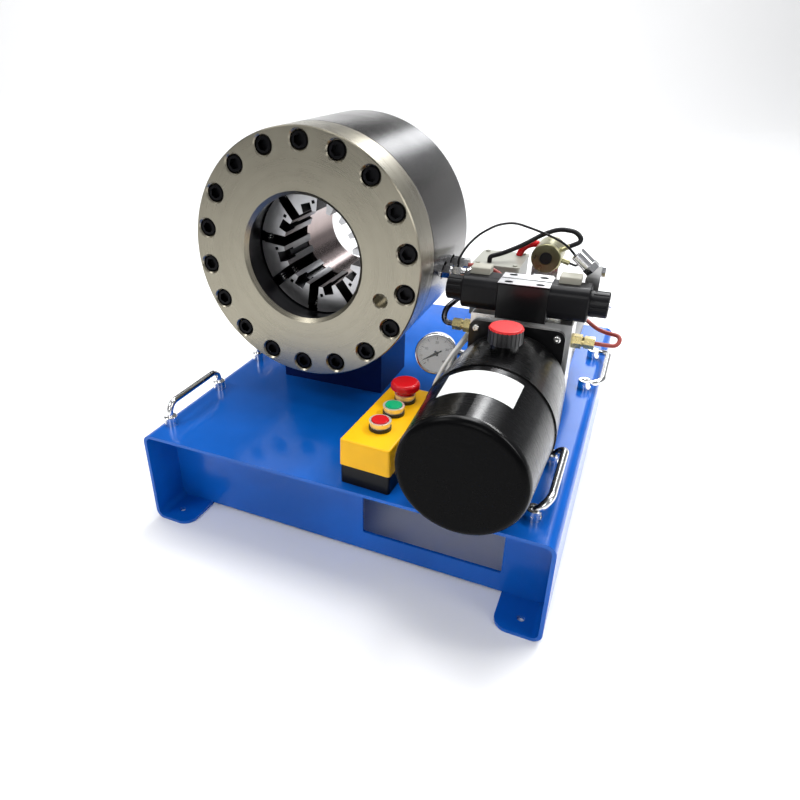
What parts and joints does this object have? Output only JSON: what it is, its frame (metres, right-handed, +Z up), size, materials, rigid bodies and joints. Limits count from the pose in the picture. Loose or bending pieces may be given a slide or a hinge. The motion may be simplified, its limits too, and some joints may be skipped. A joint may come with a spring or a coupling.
{
  "type": "hose crimping machine",
  "caption": "Hydraulic hose crimping machine: ring head with radial die jaws closed by a cone piston, oil tank power unit, valve, gauge and push-button box on a folded sheet base.",
  "frame": {"origin": "centre of the four foot holes, on the floor", "axes": "+Z up, -Y the front where hoses go in, +X to the right seen from the front; the head and the power unit lie along Y"},
  "size_m": [0.621, 0.728, 0.574],
  "materials": {
    "blue_paint": "gloss blue enamel",
    "dark_blue_paint": "gloss dark blue enamel",
    "black_paint": "satin black paint",
    "grey_paint": "satin light grey",
    "bright_steel": "ground bright steel",
    "zinc_rod": "bright zinc plated rod",
    "jaw_steel": "machined tool steel",
    "black_steel": "black oxide",
    "bare_aluminium": "milled aluminium",
    "olive_zinc": "yellow passivated zinc",
    "yellow_brass": "turned brass",
    "chrome_plate": "bright chrome plate",
    "copper_pipe": "red-brown coated tube",
    "seal_rubber": "moulded seal rubber",
    "black_plastic": "moulded black plastic",
    "grey_plastic": "moulded grey plastic",
    "yellow_plastic": "moulded yellow plastic",
    "red_plastic": "moulded red plastic",
    "green_plastic": "moulded green plastic",
    "white_dial": "white printed dial, plain marks",
    "clear_glass": "clear flat glass",
    "white_cable": "smooth white sheath",
    "black_cable": "smooth black sheath"
  },
  "bodies": {
    "machine": {"base_frame": "blue_paint", "front_panel": "blue_paint", "head_pedestal": "dark_blue_paint", "handle_posts": "bright_steel", "head_flange": "bright_steel", "flange_bolts": "black_steel", "head_body": "bright_steel", "rear_sleeve": "bright_steel", "oil_tank": "black_paint", "tank_flange_plate": "black_paint", "flange_plate_screws": "bright_steel", "manifold_block": "bare_aluminium", "manifold_bracket": "black_paint", "gear_pump": "bare_aluminium", "motor_body": "black_paint", "motor_terminal_box": "grey_paint", "contactor_bracket": "bright_steel", "contactor": "olive_zinc", "valve_body": "black_paint", "valve_cover": "bare_aluminium", "solenoid_left": "black_plastic", "solenoid_right": "black_plastic", "coil_nuts": "black_plastic", "coil_plugs": "grey_plastic", "pressure_switch": "chrome_plate", "brass_fittings": "yellow_brass", "steel_fittings": "chrome_plate", "pipe_left": "black_steel", "pipe_right": "copper_pipe", "gauge_case": "chrome_plate", "gauge_dial": "white_dial", "gauge_glass": "clear_glass", "control_box_base": "black_plastic", "control_box_cover": "yellow_plastic", "button_bezels": "chrome_plate", "cable_white": "white_cable", "cable_motor": "black_cable", "cable_lead": "black_cable"},
    "handle_front_left_body": {"handle_front_left": "zinc_rod"},
    "handle_rear_left_body": {"handle_rear_left": "zinc_rod"},
    "handle_front_right_body": {"handle_front_right": "zinc_rod"},
    "handle_rear_right_body": {"handle_rear_right": "zinc_rod"},
    "piston": {"piston_cone": "jaw_steel", "piston_seals": "seal_rubber"},
    "die_jaw_1_body": {"die_jaw_1": "jaw_steel"},
    "die_jaw_2_body": {"die_jaw_2": "jaw_steel"},
    "die_jaw_3_body": {"die_jaw_3": "jaw_steel"},
    "die_jaw_4_body": {"die_jaw_4": "jaw_steel"},
    "die_jaw_5_body": {"die_jaw_5": "jaw_steel"},
    "die_jaw_6_body": {"die_jaw_6": "jaw_steel"},
    "die_jaw_7_body": {"die_jaw_7": "jaw_steel"},
    "die_jaw_8_body": {"die_jaw_8": "jaw_steel"},
    "filler_cap_body": {"filler_cap": "black_plastic"},
    "motor_rotor_body": {"motor_rotor": "jaw_steel"},
    "override_pin_left_body": {"override_pin_left": "bright_steel"},
    "override_pin_right_body": {"override_pin_right": "bright_steel"},
    "gauge_needle_body": {"gauge_needle": "black_plastic"},
    "button_red_body": {"button_red": "red_plastic"},
    "button_green_body": {"button_green": "green_plastic"},
    "estop_button_body": {"estop_button": "red_plastic"}
  },
  "joints": [
    {"name": "piston_slide", "type": "slide", "parent": "machine", "child": "piston", "axis": [0, -1, 0], "range_m": [0, 0.05]},
    {"name": "jaw_1_slide", "type": "slide", "parent": "machine", "child": "die_jaw_1_body", "axis": [-0.9681, 0, -0.2504], "range_m": [0, 0.015]},
    {"name": "jaw_2_slide", "type": "slide", "parent": "machine", "child": "die_jaw_2_body", "axis": [-0.5075, 0, -0.8616], "range_m": [0, 0.015]},
    {"name": "jaw_3_slide", "type": "slide", "parent": "machine", "child": "die_jaw_3_body", "axis": [0.2504, 0, -0.9681], "range_m": [0, 0.015]},
    {"name": "jaw_4_slide", "type": "slide", "parent": "machine", "child": "die_jaw_4_body", "axis": [0.8616, 0, -0.5075], "range_m": [0, 0.015]},
    {"name": "jaw_5_slide", "type": "slide", "parent": "machine", "child": "die_jaw_5_body", "axis": [0.9681, 0, 0.2504], "range_m": [0, 0.015]},
    {"name": "jaw_6_slide", "type": "slide", "parent": "machine", "child": "die_jaw_6_body", "axis": [0.5075, 0, 0.8616], "range_m": [0, 0.015]},
    {"name": "jaw_7_slide", "type": "slide", "parent": "machine", "child": "die_jaw_7_body", "axis": [-0.2504, 0, 0.9681], "range_m": [0, 0.015]},
    {"name": "jaw_8_slide", "type": "slide", "parent": "machine", "child": "die_jaw_8_body", "axis": [-0.8616, 0, 0.5075], "range_m": [0, 0.015]},
    {"name": "handle_front_left_hinge", "type": "hinge", "parent": "machine", "child": "handle_front_left_body", "pos_m": [-0.278, -0.303, 0.164], "axis": [0, 1, 0], "range_deg": [-78, 0]},
    {"name": "handle_rear_left_hinge", "type": "hinge", "parent": "machine", "child": "handle_rear_left_body", "pos_m": [-0.278, -0.05, 0.164], "axis": [0, 1, 0], "range_deg": [-78, 0]},
    {"name": "handle_front_right_hinge", "type": "hinge", "parent": "machine", "child": "handle_front_right_body", "pos_m": [0.264, -0.303, 0.164], "axis": [0, 1, 0], "range_deg": [-40, 38]},
    {"name": "handle_rear_right_hinge", "type": "hinge", "parent": "machine", "child": "handle_rear_right_body", "pos_m": [0.278, 0.064, 0.164], "axis": [0, 1, 0], "range_deg": [-78, 0]},
    {"name": "filler_cap_twist", "type": "hinge", "parent": "machine", "child": "filler_cap_body", "pos_m": [0.19, -0.196, 0.334], "axis": [0, 0, 1], "range_deg": [0, 90]},
    {"name": "motor_spin", "type": "hinge", "parent": "machine", "child": "motor_rotor_body", "pos_m": [0.19, 0, 0.241], "axis": [0, 1, 0], "continuous": true},
    {"name": "override_left_press", "type": "slide", "parent": "machine", "child": "override_pin_left_body", "axis": [1, 0, 0], "range_m": [0, 0.003], "stiffness_N_per_m": 1500},
    {"name": "override_right_press", "type": "slide", "parent": "machine", "child": "override_pin_right_body", "axis": [-1, 0, 0], "range_m": [0, 0.003], "stiffness_N_per_m": 1500},
    {"name": "needle_turn", "type": "hinge", "parent": "machine", "child": "gauge_needle_body", "pos_m": [0.0756, -0.10662, 0.2527], "axis": [0.2026, -0.9531, 0.225], "range_deg": [-240, 0]},
    {"name": "button_red_press", "type": "slide", "parent": "machine", "child": "button_red_body", "axis": [0, 0, -1], "range_m": [0, 0.004], "stiffness_N_per_m": 800},
    {"name": "button_green_press", "type": "slide", "parent": "machine", "child": "button_green_body", "axis": [0, 0, -1], "range_m": [0, 0.004], "stiffness_N_per_m": 800},
    {"name": "estop_press", "type": "slide", "parent": "machine", "child": "estop_button_body", "axis": [0, 0, -1], "range_m": [0, 0.005]}
  ],
  "couplings": [
    {"joint": "jaw_1_slide", "follows": "piston_slide", "ratio": 0.3},
    {"joint": "jaw_2_slide", "follows": "piston_slide", "ratio": 0.3},
    {"joint": "jaw_3_slide", "follows": "piston_slide", "ratio": 0.3},
    {"joint": "jaw_4_slide", "follows": "piston_slide", "ratio": 0.3},
    {"joint": "jaw_5_slide", "follows": "piston_slide", "ratio": 0.3},
    {"joint": "jaw_6_slide", "follows": "piston_slide", "ratio": 0.3},
    {"joint": "jaw_7_slide", "follows": "piston_slide", "ratio": 0.3},
    {"joint": "jaw_8_slide", "follows": "piston_slide", "ratio": 0.3}
  ]
}
